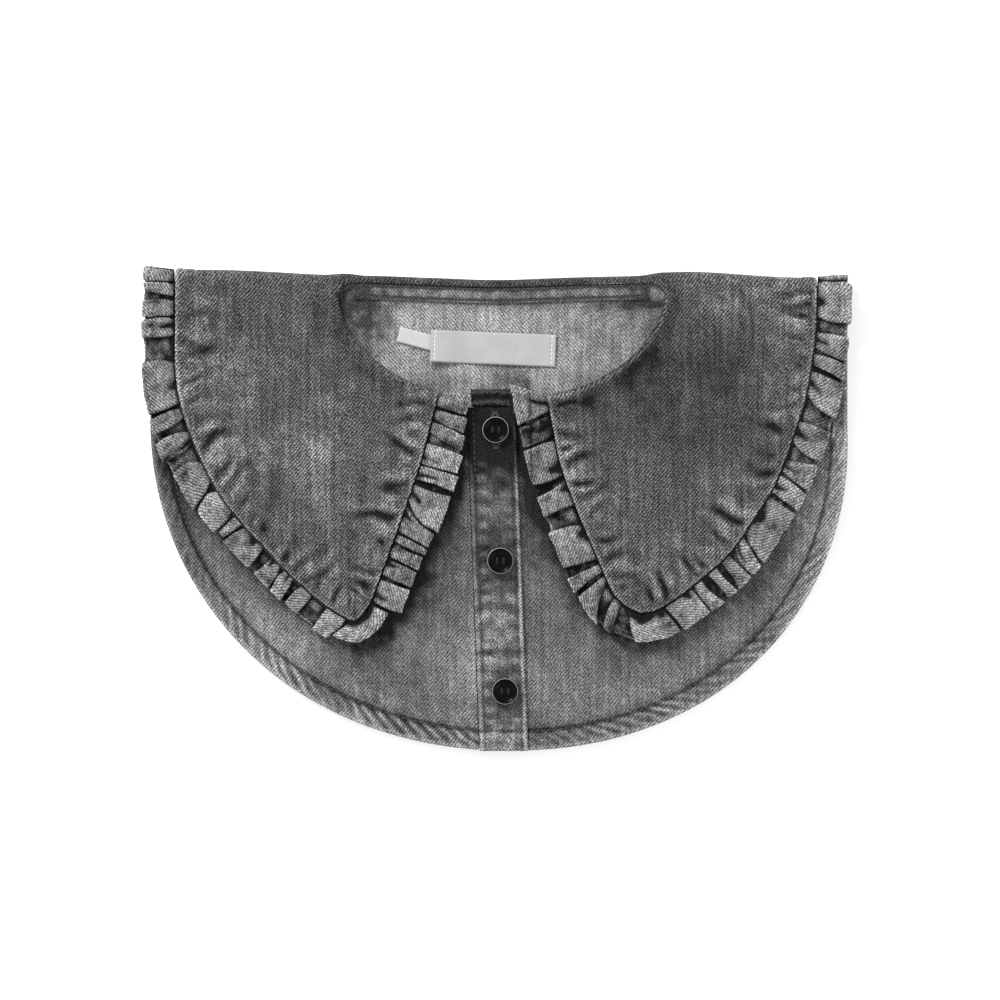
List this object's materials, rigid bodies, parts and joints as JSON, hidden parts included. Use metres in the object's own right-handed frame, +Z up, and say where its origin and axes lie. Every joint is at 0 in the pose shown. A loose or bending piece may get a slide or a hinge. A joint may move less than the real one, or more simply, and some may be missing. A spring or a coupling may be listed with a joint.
{
  "type": "ruffle collar",
  "caption": "Child's buttoned denim bib collar with two large pointed leaves edged by a gathered ruffle, lying flat with its front face up.",
  "frame": {"origin": "middle of the underside, on the surface that the collar lies on", "axes": "+X to the right as seen from above the front face, +Y towards the shoulders, +Z up out of the front face"},
  "size_m": [0.2988, 0.2028, 0.0153],
  "materials": {
    "collar_denim": "washed mid grey twill",
    "bib_denim": "washed lighter grey twill",
    "frill_denim": "washed grey twill, pale on the folds",
    "inside_denim": "pale reverse side of the twill",
    "band_denim": "washed grey twill, worn along its edges",
    "dark_binding": "unwashed, almost black",
    "woven_label": "off-white woven satin, blank",
    "button_black": "polished black"
  },
  "bodies": {
    "root": {"back_panel": "inside_denim", "front_panel_left": "bib_denim", "front_panel_right": "bib_denim", "under_placket": "band_denim", "upper_placket": "band_denim", "front_neck_binding": "dark_binding", "collar": "collar_denim", "ruffle_left": "frill_denim", "ruffle_right": "frill_denim", "ruffle_back": "frill_denim", "neck_tape": "inside_denim", "label": "woven_label", "size_tab": "woven_label", "button_1": "button_black", "button_2": "button_black", "button_3": "button_black"}
  },
  "joints": []
}
